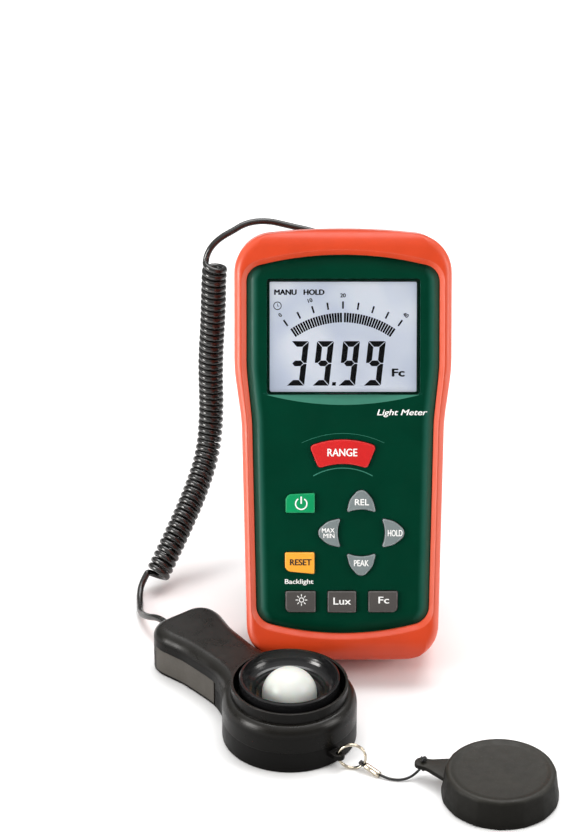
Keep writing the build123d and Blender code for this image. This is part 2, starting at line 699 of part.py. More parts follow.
def ferrule():
    start, end = Vector(*LANYARD[0]), Vector(*LANYARD[1])
    sleeve = Cylinder(FERRULE_R, FERRULE_LENGTH, align=(Align.CENTER, Align.CENTER, Align.MIN))
    sleeve -= Cylinder(STRING_R + 0.02, 30)
    sleeve = chamfer(sleeve.edges().filter_by(GeomType.CIRCLE).sort_by(SortBy.RADIUS)[-2:], 0.15)
    return aimed(start, end - start) * sleeve


def sensor_cap():
    """Soft lid with a thin outer skirt and an inner sleeve that grips the sensor's cup."""
    ceiling = CAP_HEIGHT - 1.8
    profile = [(0, CAP_HEIGHT), (CAP_TOP_R - 0.5, CAP_HEIGHT), (CAP_TOP_R, CAP_HEIGHT - 0.5),
               (CAP_R, 0), (CAP_R - 1.1, 0), (CAP_TOP_R - 1.0, ceiling), (0, ceiling)]
    cap = turned(profile)
    bore, sleeve = CUP_R + 0.1, CUP_R + 0.6
    cap += turned([(bore, 2.4), (sleeve, 2.4), (sleeve, ceiling + 0.2), (bore, ceiling + 0.2)])
    tip = Vector(CAP_TAB_REACH, 0)
    with BuildSketch() as tab:
        with BuildLine():
            Polyline((17.0, -5.2), (17.0, 5.2), (tip.X, 1.4), (tip.X + 1.0, 0), (tip.X, -1.4),
                     close=True)
        make_face()
    tab_solid = Pos(0, 0, CAP_TAB_Z) * extrude(tab.sketch, 1.5)
    tab_solid -= turned([(0, -1), (17.4, -1), (17.4, 11), (0, 11)])
    cap += Rot(0, 0, CAP_TAB_ANGLE) * tab_solid
    hole = Pos(*cap_hole_offset()) * Cylinder(0.7, 20)
    return Pos(CAP_CENTRE[0], CAP_CENTRE[1], 0) * (cap - hole)


def cap_hole_offset():
    angle = math.radians(CAP_TAB_ANGLE)
    reach = CAP_TAB_REACH - 0.6
    return (reach * math.cos(angle), reach * math.sin(angle))


def lanyard_knots():
    """Two knots on the string, one each side of the tab."""
    x, y = cap_hole_offset()
    centre = Vector(CAP_CENTRE[0] + x, CAP_CENTRE[1] + y)
    upper = Pos(centre.X, centre.Y, CAP_TAB_Z + 2.55) * Sphere(1.1)
    lower = Pos(centre.X, centre.Y, CAP_TAB_Z - 1.0) * Sphere(0.95)
    return [upper, lower + Pos(centre.X, centre.Y, CAP_TAB_Z + 0.7) * Cylinder(0.6, 2.2)]


# ---------------------------------------------------------------- build
sketches = key_sketches()
centres = [(s.face().center().X, s.face().center().Y) for s in sketches.values()]
meter_nodes = {
    "rubber_boot": rubber_boot(),
    "front_case": front_case(sketches.values()),
    "rear_case": rear_case(),
    "battery_door": battery_door(),
    "door_screw": door_screw(),
    "window_lens": window_lens(),
    "lcd_glass": lcd_glass(),
    "lcd_frame": lcd_frame(),
    "backlight_panel": backlight_panel(),
    "zebra_strips": Compound(zebra_strips()),
    "main_board": main_board(),
    "controller_chip": controller_chip(),
    "keypad_mat": keypad_mat(centres),
    "battery": battery(),
    "battery_snap": battery_snap(),
    "battery_leads": Compound(battery_leads()),
    "case_screws": Compound(case_screws()),
    "board_screws": Compound(board_screws()),
    "cord_gland": cord_gland(),
}
for name, sketch in sketches.items():
    meter_nodes[name] = key(sketch)
for name, shape in meter_nodes.items():
    save(name, shape, METER)

save("stand_pin", stand_pin())
save("tilt_stand", stand_place() * tilt_stand())

save("cord_upper_lead", tube("upper lead", UPPER_LEAD, WIRE_R))
save("cord_coil", tube("coil", COIL_PATH, COIL_R))
save("cord_lower_lead", tube("lower lead", LOWER_LEAD, WIRE_R))

sensor_nodes = {
    "probe_shell": probe_shell(),
    "probe_base": probe_base(),
    "sensor_cup": sensor_cup(),
    "diffuser_dome": diffuser_dome(),
    "light_filter": light_filter(),
    "photodiode": photodiode(),
    "sensor_board": sensor_board(),
    "grip_inserts": Compound([grip_block(-1), grip_block(1)]),
    "probe_screws": Compound(probe_screws()),
    "probe_gland": probe_gland(),
}
for name, shape in sensor_nodes.items():
    save(name, shape, SENSOR)

save("split_ring", split_ring())
save("lanyard_loop", lanyard_loop())
save("lanyard_ferrule", ferrule())
save("lanyard_cord", tube("lanyard", LANYARD, STRING_R))
save("sensor_cap", sensor_cap())
save("lanyard_knots", Compound(lanyard_knots()))
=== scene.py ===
import json
import math

import bmesh
import bpy
from mathutils import Matrix, Vector, noise


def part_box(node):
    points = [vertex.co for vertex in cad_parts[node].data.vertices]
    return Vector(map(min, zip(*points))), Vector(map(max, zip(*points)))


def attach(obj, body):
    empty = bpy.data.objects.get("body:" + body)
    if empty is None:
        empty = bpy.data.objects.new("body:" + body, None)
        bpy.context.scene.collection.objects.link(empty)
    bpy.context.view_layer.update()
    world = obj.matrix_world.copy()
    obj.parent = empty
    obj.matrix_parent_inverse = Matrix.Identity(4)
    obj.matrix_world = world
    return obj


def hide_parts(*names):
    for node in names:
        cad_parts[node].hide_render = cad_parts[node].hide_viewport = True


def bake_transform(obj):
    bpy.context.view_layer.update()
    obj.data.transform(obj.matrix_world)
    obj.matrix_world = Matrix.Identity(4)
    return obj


# Looks for a light meter in a rubber boot, leaning on its tilt stand, with a remote sensor on a
# curly cord and a sensor cap on a lanyard. The scene is in metres; a piece is drawn in
# millimetres in its own frame and carried to its place by a matrix that holds the scale.

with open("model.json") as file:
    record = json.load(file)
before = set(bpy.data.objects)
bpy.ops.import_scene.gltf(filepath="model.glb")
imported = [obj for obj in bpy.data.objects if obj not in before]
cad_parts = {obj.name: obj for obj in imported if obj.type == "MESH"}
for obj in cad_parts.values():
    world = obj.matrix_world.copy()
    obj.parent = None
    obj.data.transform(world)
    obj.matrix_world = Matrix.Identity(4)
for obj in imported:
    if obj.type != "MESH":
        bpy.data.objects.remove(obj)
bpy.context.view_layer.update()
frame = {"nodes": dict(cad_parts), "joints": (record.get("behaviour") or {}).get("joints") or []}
MM = 0.001
NODES = frame["nodes"]


# ---------------------------------------------------------------- frames
def joint_axis(name):
    return next(j["axis"] for j in frame["joints"] if j["name"] == name)


def turned_box(node, turn):
    """Lowest and highest corner of a CAD node in a turned frame, in metres."""
    back = turn.inverted()
    points = [back @ v.co for v in NODES[node].data.vertices]
    low = Vector([min(p[i] for p in points) for i in range(3)])
    high = Vector([max(p[i] for p in points) for i in range(3)])
    return low, high


# The meter's frame: x to the right, v up the face and w out of the back, as in its drawing.
BOOT_LENGTH = 150.0
BOOT_DEPTH = 36.0
METER_TURN = Matrix.Rotation(math.acos(-joint_axis("press_range")[2]), 4, "X")
boot_low, boot_high = turned_box("rubber_boot", METER_TURN)
METER = METER_TURN @ Matrix.Translation(
    (0, boot_high.y - BOOT_LENGTH * MM, boot_high.z - BOOT_DEPTH * MM)
) @ Matrix.Scale(MM, 4)

# The cap's frame: its centre on the desk, with the tab along +X.
cap_low, cap_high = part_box("sensor_cap")
CAP_RADIUS = (cap_high.y - cap_low.y) / 2 / MM
CAP_HEIGHT = cap_high.z / MM
cap_centre = Vector((cap_high.x - CAP_RADIUS * MM, (cap_low.y + cap_high.y) / 2, 0))
knot_low, knot_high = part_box("lanyard_knots")
knot = (knot_low + knot_high) / 2
tab_turn = math.atan2(knot.y - cap_centre.y, knot.x - cap_centre.x)
CAP = Matrix.Translation(cap_centre) @ Matrix.Rotation(tab_turn, 4, "Z") @ Matrix.Scale(MM, 4)


# ---------------------------------------------------------------- camera
CAMERA_AT = (-0.0200, -0.94686, 0.62972)
CAMERA_DOWN = 29.5        # degrees below the horizon
LENS = 138.03             # millimetres, on a 36 mm sensor


def make_camera():
    data = bpy.data.cameras.new("camera")
    data.lens = LENS
    data.sensor_width = 36
    data.clip_start = 0.05
    camera = bpy.data.objects.new("camera", data)
    camera.location = CAMERA_AT
    camera.rotation_euler = (math.radians(90 - CAMERA_DOWN), 0, 0)
    bpy.context.scene.collection.objects.link(camera)
    bpy.context.scene.camera = camera


make_camera()


# ---------------------------------------------------------------- mesh helpers
def add_piece(name, mesh, place, material, body=None):
    """Adds a mesh at its place, with its material; it rides on body if one is given."""
    mesh.transform(place)
    mesh.materials.append(material)
    obj = bpy.data.objects.new(name, mesh)
    bpy.context.scene.collection.objects.link(obj)
    if body:
        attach(obj, body)
    return obj


def mesh_from(bm, name, smooth_angle=35):
    """Turns a bmesh into a mesh, smooth except at edges sharper than the angle."""
    bmesh.ops.recalc_face_normals(bm, faces=bm.faces)
    mesh = bpy.data.meshes.new(name)
    limit = math.radians(smooth_angle)
    for edge in bm.edges:
        if len(edge.link_faces) == 2:
            edge.smooth = edge.calc_face_angle(0) < limit
    for face in bm.faces:
        face.smooth = True
    bm.to_mesh(mesh)
    bm.free()
    return mesh


def join(bms):
    """Several bmeshes as one."""
    whole = bmesh.new()
    for bm in bms:
        part = bpy.data.meshes.new("part")
        bm.to_mesh(part)
        bm.free()
        whole.from_mesh(part)
        bpy.data.meshes.remove(part)
    return whole


def lathe(profile, steps=128, shape=None):
    """A closed (radius, height) outline turned about Z. shape(angle, radius, height) moves a
    point in or out."""
    bm = bmesh.new()
    rings = []
    for radius, height in profile:
        if radius < 1e-6:
            rings.append([bm.verts.new((0, 0, height))])
            continue
        ring = []
        for i in range(steps):
            angle = 2 * math.pi * i / steps
            r = shape(angle, radius, height) if shape else radius
            ring.append(bm.verts.new((r * math.cos(angle), r * math.sin(angle), height)))
        rings.append(ring)
    for a, b in zip(rings, rings[1:] + rings[:1]):
        for i in range(steps):
            j = (i + 1) % steps
            if len(a) == 1 and len(b) == 1:
                break
            if len(a) == 1:
                bm.faces.new((a[0], b[i], b[j]))
            elif len(b) == 1:
                bm.faces.new((a[i], a[j], b[0]))
            else:
                bm.faces.new((a[i], a[j], b[j], b[i]))
    return bm


def rounded(points, radii, steps=5):
    """A closed outline with its corners rounded, as a list of 2D points."""
    out = []
    count = len(points)
    for i, (point, radius) in enumerate(zip(points, radii)):
        here = Vector(point)
        if radius <= 0:
            out.append(tuple(here))
            continue
        before = (Vector(points[i - 1]) - here).normalized()
        after = (Vector(points[(i + 1) % count]) - here).normalized()
        half = before.angle(after) / 2
        reach = radius / math.tan(half)
        centre = here + (before + after).normalized() * (radius / math.sin(half))
        start, end = here + before * reach - centre, here + after * reach - centre
        turn = start.angle_signed(end)
        for k in range(steps + 1):
            spin = Matrix.Rotation(-turn * k / steps, 2)
            out.append(tuple(centre + spin @ start))
    return out


def extrude_outline(points, low, high, edge=0.0):
    """A plate with an outline in x, y, from low to high, its top edge rounded by edge."""
    bm = bmesh.new()
    base = [bm.verts.new((x, y, low)) for x, y in points]
    face = bm.faces.new(base)
    made = bmesh.ops.extrude_face_region(bm, geom=[face])
    top = [v for v in made["geom"] if isinstance(v, bmesh.types.BMVert)]
    for vert in top:
        vert.co.z = high
    if edge:
        rim = [e for e in bm.edges if all(v.co.z > high - 1e-6 for v in e.verts)]
        bmesh.ops.bevel(bm, geom=rim, offset=edge, segments=3, profile=0.5, affect="EDGES")
    return bm


# ---------------------------------------------------------------- lines and tubes
DOME_WIDTH = 0.6          # of a tube's radius, where its end dome is flat
DOME_HEIGHT = 0.5         # of a tube's radius


def carried_frames(points):
    """A tangent and two normals at each point, carried along without twist."""
    tangents = []
    for i in range(len(points)):
        ahead = points[min(i + 1, len(points) - 1)] - points[max(i - 1, 0)]
        tangents.append(ahead.normalized())
    side = tangents[0].orthogonal().normalized()
    frames = []
    for tangent in tangents:
        side = (side - tangent * side.dot(tangent)).normalized()
        frames.append((tangent, side, tangent.cross(side)))
    return frames


def tube(points, radius, sides=10, closed=False):
    """A round tube through the points, as a bmesh. It meets itself if it is closed; otherwise a
    small blunt dome shuts each end."""
    bm = bmesh.new()
    frames = carried_frames(points)
    rings = []
    for point, (_, side, up) in zip(points, frames):
        ring = []
        for k in range(sides):
            angle = 2 * math.pi * k / sides
            offset = side * (radius * math.cos(angle)) + up * (radius * math.sin(angle))
            ring.append(bm.verts.new(point + offset))
        rings.append(ring)
    for a, b in zip(rings, rings[1:]):
        for k in range(sides):
            j = (k + 1) % sides
            bm.faces.new((a[k], a[j], b[j], b[k]))
    if closed:
        a, b = rings[-1], rings[0]
        shift = min(range(sides), key=lambda s: (a[0].co - b[s].co).length)
        for k in range(sides):
            j = (k + 1) % sides
            bm.faces.new((a[k], a[j], b[(j + shift) % sides], b[(k + shift) % sides]))
        return bm
    for ring, sign, frame_here in ((rings[0], -1, frames[0]), (rings[-1], 1, frames[-1])):
        centre = points[0] if sign < 0 else points[-1]
        inner = []
        for vert in ring:
            outward = frame_here[0] * (sign * radius * DOME_HEIGHT)
            inner.append(bm.verts.new(centre + (vert.co - centre) * DOME_WIDTH + outward))
        for k in range(sides):
            j = (k + 1) % sides
            bm.faces.new((ring[k], ring[j], inner[j], inner[k]))
        bm.faces.new(inner)
    return bm


def spline_points(name, control):
    """Points along a NURBS spline of order 3 with these control points."""
    curve = bpy.data.curves.new(name, "CURVE")
    curve.dimensions = "3D"
    curve.resolution_u = 16
    spline = curve.splines.new("NURBS")
    spline.points.add(len(control) - 1)
    for point, place in zip(spline.points, control):
        point.co = (*place, 1)
    spline.order_u = 3
    spline.use_endpoint_u = True
    obj = bpy.data.objects.new(name, curve)
    bpy.context.scene.collection.objects.link(obj)
    bpy.context.view_layer.update()
    graph = bpy.context.evaluated_depsgraph_get()
    mesh = bpy.data.meshes.new_from_object(obj.evaluated_get(graph))
    points = [v.co.copy() for v in mesh.vertices]
    bpy.data.objects.remove(obj)
    bpy.data.meshes.remove(mesh)
    return points


def evenly(points, step):
    """The same line with points at an even step."""
    lengths = [0.0]
    for a, b in zip(points, points[1:]):
        lengths.append(lengths[-1] + (b - a).length)
    count = max(2, round(lengths[-1] / step))
    out = []
    at = 0
    for i in range(count + 1):
        want = lengths[-1] * i / count
        while at < len(lengths) - 2 and lengths[at + 1] < want:
            at += 1
        span = lengths[at + 1] - lengths[at]
        share = 0 if span < 1e-12 else (want - lengths[at]) / span
        out.append(points[at].lerp(points[at + 1], min(1, share)))
    return out, lengths[-1]


# ---------------------------------------------------------------- materials
def linear(*rgb):
    """An sRGB colour, 0 to 255, as linear values with alpha."""
    out = []
    for value in rgb:
        c = value / 255
        out.append(c / 12.92 if c <= 0.04045 else ((c + 0.055) / 1.055) ** 2.4)
    return (*out, 1.0)


def shade(colour, factor):
    return (*[min(1, c * factor) for c in colour[:3]], 1.0)


TOP_SPECULAR = 0.4        # on faces that look up, where a material has painted darker sides
LEVEL_SPECULAR = 0.5      # Blender's own default


class Nodes:
    """Short calls for building one material's nodes."""

    def __init__(self, name):
        self.material = bpy.data.materials.new(name)
        self.material.use_nodes = True
        self.tree = self.material.node_tree
        self.shader = self.tree.nodes["Principled BSDF"]
        self.place = self.tree.nodes.new("ShaderNodeTexCoord").outputs["Object"]

    def noise(self, size_mm, detail=3.0, rough=0.55, place=None):
        node = self.tree.nodes.new("ShaderNodeTexNoise")
        node.inputs["Scale"].default_value = 1 / (size_mm * MM)
        node.inputs["Detail"].default_value = detail
        node.inputs["Roughness"].default_value = rough
        self.tree.links.new(place or self.place, node.inputs["Vector"])
        return node.outputs["Fac"]

    def spread(self, value, low, high, from_low=0.3, from_high=0.7):
        node = self.tree.nodes.new("ShaderNodeMapRange")
        node.inputs["From Min"].default_value = from_low
        node.inputs["From Max"].default_value = from_high
        node.inputs["To Min"].default_value = low
        node.inputs["To Max"].default_value = high
        self.tree.links.new(value, node.inputs["Value"])
        return node.outputs["Result"]

    def ramp(self, value, stops):
        node = self.tree.nodes.new("ShaderNodeValToRGB")
        elements = node.color_ramp.elements
        while len(elements) < len(stops):
            elements.new(0.5)
        for element, (at, colour) in zip(elements, stops):
            element.position = at
            element.color = colour
        self.tree.links.new(value, node.inputs["Fac"])
        return node.outputs["Color"]

    def mix(self, share, a, b):
        node = self.tree.nodes.new("ShaderNodeMix")
        node.data_type = "RGBA"
        for socket, value in ((node.inputs[0], share), (node.inputs[6], a), (node.inputs[7], b)):
            if isinstance(value, bpy.types.NodeSocket):
                self.tree.links.new(value, socket)
            else:
                socket.default_value = value
        return node.outputs[2]

    def bump(self, layers, soft_mm=0.0):
        """Stacks (height, millimetres) bumps onto the shader's normal, over softened edges."""
        normal = None
        if soft_mm:
            bevel = self.tree.nodes.new("ShaderNodeBevel")
            bevel.samples = 6
            bevel.inputs["Radius"].default_value = soft_mm * MM
            normal = bevel.outputs["Normal"]
        for height, amount in layers:
            node = self.tree.nodes.new("ShaderNodeBump")
            node.inputs["Distance"].default_value = amount * MM
            self.tree.links.new(height, node.inputs["Height"])
            if normal:
                self.tree.links.new(normal, node.inputs["Normal"])
            normal = node.outputs["Normal"]
        self.tree.links.new(normal, self.shader.inputs["Normal"])

    def edges(self, radius_mm, low=0.02, high=0.35):
        """A mask that is 1 on sharp edges, from the gap between rounded and true normals."""
        bevel = self.tree.nodes.new("ShaderNodeBevel")
        bevel.samples = 4
        bevel.inputs["Radius"].default_value = radius_mm * MM
        flat = self.tree.nodes.new("ShaderNodeNewGeometry")
        gap = self.tree.nodes.new("ShaderNodeVectorMath")
        gap.operation = "DISTANCE"
        self.tree.links.new(bevel.outputs["Normal"], gap.inputs[0])
        self.tree.links.new(flat.outputs["Normal"], gap.inputs[1])
        return self.spread(gap.outputs["Value"], 0, 1, low, high)

    def upward(self, low=0.1, high=0.85):
        """A mask from 0 on upright sides to 1 on faces that look up, where painted side shade
        gives way to the lit tops.
        """
        flat = self.tree.nodes.new("ShaderNodeNewGeometry")
        split = self.tree.nodes.new("ShaderNodeSeparateXYZ")
        self.tree.links.new(flat.outputs["Normal"], split.inputs["Vector"])
        return self.spread(split.outputs["Z"], 0, 1, low, high)

    def sideways(self, low=0.08, high=0.65):
        """A mask from 0 on faces that look ahead or up to 1 on faces that look left or right."""
        flat = self.tree.nodes.new("ShaderNodeNewGeometry")
        split = self.tree.nodes.new("ShaderNodeSeparateXYZ")
        size = self.tree.nodes.new("ShaderNodeMath")
        size.operation = "ABSOLUTE"
        self.tree.links.new(flat.outputs["Normal"], split.inputs["Vector"])
        self.tree.links.new(split.outputs["X"], size.inputs[0])
        return self.spread(size.outputs["Value"], 0, 1, low, high)

    def set(self, **values):
        for name, value in values.items():
            socket = self.shader.inputs[name.replace("_", " ")]
            if isinstance(value, bpy.types.NodeSocket):
                self.tree.links.new(value, socket)
            else:
                socket.default_value = value


def moulded(name, colour, rough, drift=0.10, drift_mm=14, grain=0.010, grain_mm=0.35,
            wear=0.0, wear_mm=0.3, worn=None, dust=0.0, soft_mm=0.0, painted_shade_walls=None,
            painted_flank_highlight=None, **values):
    """Moulded plastic or rubber: slow colour drift, uneven gloss and a fine moulded grain.
    Upright sides take (colour share, specular level): the share is painted shade against the lit
    tops.
    Left and right roundings take (colour, specular level): the colour is a painted highlight."""
    n = Nodes(name)
    base = n.ramp(n.noise(drift_mm, 4), [(0.3, shade(colour, 1 - drift)),
                                         (0.7, shade(colour, 1 + drift))])
    if wear:
        patchy = n.spread(n.noise(2.5, 4), 0, wear, 0.35, 0.7)
        rim = n.tree.nodes.new("ShaderNodeMath")
        rim.operation = "MULTIPLY"
        n.tree.links.new(n.edges(wear_mm), rim.inputs[0])
        n.tree.links.new(patchy, rim.inputs[1])
        base = n.mix(rim.outputs["Value"], base, worn or shade(colour, 1.6))
    if dust:
        specks = n.spread(n.noise(0.7, 5), 0, dust, 0.60, 0.78)
        base = n.mix(specks, base, linear(150, 142, 130))
    # painted shade: upright sides take a darker share of the colour and less specular than the
    # lit tops
    if painted_shade_walls:
        up = n.upward()
        base = n.mix(up, shade(colour, painted_shade_walls[0]), base)
        values["Specular_IOR_Level"] = n.spread(up, painted_shade_walls[1], TOP_SPECULAR, 0, 1)
    # painted highlight: faces that look left or right take a lighter colour, as if lit by the
    # side lamps
    if painted_flank_highlight:
        side = n.sideways()
        base = n.mix(side, base, painted_flank_highlight[0])
        level = values["Specular_IOR_Level"]
        values["Specular_IOR_Level"] = n.spread(side, level, painted_flank_highlight[1], 0, 1)
    gloss = n.spread(n.noise(drift_mm / 3, 5), rough - 0.06, rough + 0.08)
    n.set(Base_Color=base, Roughness=gloss, **values)
    n.bump([(n.noise(grain_mm, 5), grain), (n.noise(grain_mm * 12, 2), grain * 1.5)], soft_mm)
    return n.material


def metal(name, colour, rough):
    """Plated or turned metal: fine scratches, smudged gloss and slight tarnish."""
    n = Nodes(name)
    stretch = n.tree.nodes.new("ShaderNodeMapping")
    stretch.inputs["Scale"].default_value = (1, 6, 1)
    n.tree.links.new(n.place, stretch.inputs["Vector"])
    scratches = n.noise(0.15, 4, 0.7, stretch.outputs["Vector"])
    base = n.ramp(n.noise(4.0, 3), [(0.3, shade(colour, 0.85)), (0.7, colour)])
    n.set(Base_Color=base, Metallic=1.0,
          Roughness=n.spread(n.noise(3.0, 3), rough - 0.04, rough + 0.06))
    n.bump([(scratches, 0.0008)])
    return n.material


def ink(name, colour, rough=0.5, specular=LEVEL_SPECULAR):
    """Printed ink: slightly uneven cover and a fine tooth."""
    n = Nodes(name)
    base = n.ramp(n.noise(0.8, 4), [(0.35, shade(colour, 0.9)), (0.65, colour)])
    n.set(Base_Color=base, Roughness=n.spread(n.noise(0.5, 4), rough - 0.08, rough + 0.08),
          Specular_IOR_Level=specular)
    n.bump([(n.noise(0.2, 4), 0.003)])
    return n.material


def lcd_surface(name):
    """The display's pale grey-blue ground in cloudy tones, with a painted glow from its emission.
    """
    n = Nodes(name)
    cloud = n.noise(26, 2, 0.4)
    base = n.ramp(cloud, [(0.36, linear(186, 194, 212)), (0.5, linear(203, 210, 224)),
                          (0.64, linear(222, 227, 236))])
    # painted glow: the emission lifts the ground's tone; no lamp lights it
    n.set(Base_Color=base, Emission_Color=base, Roughness=n.spread(cloud, 0.35, 0.42))
    n.shader.inputs["Emission Strength"].default_value = 0.42
    n.bump([(n.noise(0.12, 2), 0.001)])
    return n.material


def clear_window(name):
    """A clear pane: it shows what is behind it and mirrors the room faintly."""
    n = Nodes(name)
    tree = n.tree
    clear = tree.nodes.new("ShaderNodeBsdfTransparent")
    gloss = tree.nodes.new("ShaderNodeBsdfGlossy")
    mirror = tree.nodes.new("ShaderNodeFresnel")
    both = tree.nodes.new("ShaderNodeMixShader")
    mirror.inputs["IOR"].default_value = 1.22
    tree.links.new(n.spread(n.noise(9, 4), 0.02, 0.07), gloss.inputs["Roughness"])
    tint = n.ramp(n.noise(20, 2), [(0.3, (0.975, 0.98, 0.985, 1)), (0.7, (0.99, 0.99, 0.995, 1))])
    tree.links.new(tint, clear.inputs["Color"])
    tree.links.new(mirror.outputs["Fac"], both.inputs["Fac"])
    tree.links.new(clear.outputs["BSDF"], both.inputs[1])
    tree.links.new(gloss.outputs["BSDF"], both.inputs[2])
    tree.links.new(both.outputs["Shader"], tree.nodes["Material Output"].inputs["Surface"])
    tree.nodes.remove(n.shader)
    return n.material


M = {
    # the flank colours of the boot and of the case below are painted highlights
    "boot": moulded("boot_rubber", linear(198, 62, 26), 0.36, drift=0.05, grain=0.006,
                    wear=0.25, worn=linear(250, 150, 120), soft_mm=0.9,
                    painted_flank_highlight=(linear(208, 80, 50), 0.6), Specular_IOR_Level=0.32),
    "green": moulded("case_plastic", linear(0, 50, 34), 0.36, drift=0.08, grain=0.005,
                     wear=0.5, wear_mm=0.35, worn=linear(40, 110, 95), soft_mm=0.3,
                     painted_flank_highlight=(linear(22, 112, 94), 0.6), Specular_IOR_Level=0.05),
    # painted highlight: a paler copy of the case green for the sill that faces the top lamp
    "bevel": moulded("sill_highlight_plastic", linear(38, 110, 90), 0.38, drift=0.10, grain=0.005),
    "rear": moulded("rear_plastic", linear(18, 52, 42), 0.5, grain=0.02, grain_mm=0.6),
    "red": moulded("red_key", linear(192, 32, 32), 0.45, drift=0.05, grain=0.008,
                   wear=0.5, worn=linear(250, 130, 125), Specular_IOR_Level=0.2),
    "go": moulded("green_key", linear(0, 138, 84), 0.45, drift=0.06, grain=0.008,
                  wear=0.5, worn=linear(120, 210, 170), Specular_IOR_Level=0.2),
    "yellow": moulded("yellow_key", linear(236, 160, 44), 0.45, drift=0.05, grain=0.008,
                      wear=0.5, worn=linear(255, 215, 150)),
    "grey": moulded("grey_key", linear(112, 121, 122), 0.45, drift=0.06, grain=0.008,
                    wear=0.8, worn=linear(190, 198, 200)),
    "dark": moulded("dark_key", linear(66, 62, 60), 0.48, drift=0.06, grain=0.008,
                    wear=0.8, worn=linear(150, 146, 146)),
    # painted shade: the upright sides of the sensor and its base are darkened in colour
    "probe": moulded("sensor_plastic", linear(23, 21, 17), 0.30, drift=0.14, grain=0.007,
                     grain_mm=0.25, dust=0.02, soft_mm=0.3, painted_shade_walls=(0.25, 0.10)),
    "base": moulded("sensor_base_plastic", linear(20, 18, 16), 0.38, drift=0.14, grain=0.010,
                    soft_mm=0.3, painted_shade_walls=(0.25, 0.08)),
    "grip": moulded("grip_rubber", linear(58, 54, 48), 0.62, drift=0.12, grain=0.03,
                    grain_mm=0.5, dust=0.1),
    # painted highlight: a paler green for light caught on the moulded edges round the range key
    "line": moulded("recess_edge_highlight", linear(44, 118, 98), 0.4, drift=0.15, grain=0.004),
    "cup": moulded("cup_plastic", linear(22, 22, 23), 0.17, drift=0.10, grain=0.004,
                   dust=0.04),
    "dome": moulded("dome_plastic", linear(214, 216, 210), 0.36, drift=0.03, grain=0.003,
                    Subsurface_Weight=0.25, Subsurface_Scale=0.003),
    # painted shade: the cap's upright sides are darkened in colour
    "cap": moulded("cap_rubber", linear(30, 28, 21), 0.55, drift=0.18, drift_mm=9,
                   grain=0.03, grain_mm=0.7, dust=0.10, painted_shade_walls=(0.25, 0.10)),
    "cord": moulded("cord_sleeve", linear(22, 22, 20), 0.22, drift=0.14, drift_mm=6,
                    grain=0.004, dust=0.04, Specular_IOR_Level=0.75),
    "string": moulded("lanyard_string", linear(20, 20, 20), 0.38, drift=0.2, drift_mm=2,
                      grain=0.02, grain_mm=0.3),
    "black": moulded("black_plastic", linear(24, 24, 24), 0.45),
    # the window's dark border: print, partly widened into a painted shadow
    "mask": moulded("window_border_and_shadow", linear(8, 14, 13), 0.4, grain=0.003),
    "soft_black": moulded("black_rubber", linear(30, 30, 30), 0.6, grain=0.02),
    "white_part": moulded("white_plastic", linear(225, 226, 222), 0.4),
    "elastomer": moulded("elastomer", linear(200, 120, 110), 0.6),
    "mat": moulded("keypad_rubber", linear(190, 192, 188), 0.6),
    "board": moulded("circuit_board", linear(20, 92, 56), 0.4, grain=0.02, grain_mm=1.5),
    "chip": moulded("chip_resin", linear(28, 28, 30), 0.55),
    "battery": moulded("battery_sleeve", linear(60, 64, 70), 0.35),
    "filter": moulded("filter_glass", linear(90, 130, 110), 0.15),
    "wire": moulded("lead_sleeve", linear(160, 30, 30), 0.4),
    "steel": metal("steel", linear(196, 196, 198), 0.28),
    "nickel": metal("nickel", linear(196, 186, 168), 0.16),
    "lcd": lcd_surface("lcd_ground"),
    "window": clear_window("clear_window"),
    "segment": ink("lcd_segment", linear(6, 7, 12), 0.7, 0.1),
    "white_ink": ink("white_ink", linear(240, 240, 238)),
    "black_ink": ink("black_ink", linear(40, 26, 20)),
}

NODE_MATERIALS = {
    "boot": ["rubber_boot"],
    "green": ["front_case"],
    "rear": ["rear_case", "battery_door"],
    "steel": ["door_screw", "stand_pin", "case_screws", "board_screws", "probe_screws",
              "photodiode"],
    "window": ["window_lens"],
    "lcd": ["lcd_glass"],
    "black": ["lcd_frame", "tilt_stand", "battery_snap"],
    "white_part": ["backlight_panel"],
    "elastomer": ["zebra_strips"],
    "mat": ["keypad_mat"],
    "board": ["main_board", "sensor_board"],
    "chip": ["controller_chip"],
    "battery": ["battery"],
    "wire": ["battery_leads"],
    "soft_black": ["cord_gland", "probe_gland"],
    "red": ["key_range"],
    "go": ["key_power"],
    "yellow": ["key_reset"],
    "grey": ["key_relative", "key_max_min", "key_hold", "key_peak"],
    "dark": ["key_backlight", "key_lux", "key_footcandle"],
    "probe": ["probe_shell"],
    "base": ["probe_base"],
    "grip": ["grip_inserts"],
    "cup": ["sensor_cup"],
    "dome": ["diffuser_dome"],
    "filter": ["light_filter"],
    "nickel": ["split_ring", "lanyard_ferrule"],
    "string": ["lanyard_loop", "lanyard_knots"],
    "cap": ["sensor_cap"],
}


def finish_node(name, material):
    mesh = NODES[name].data
    mesh.materials.clear()
    mesh.materials.append(material)


for key, names in NODE_MATERIALS.items():
    for name in names:
        finish_node(name, M[key])


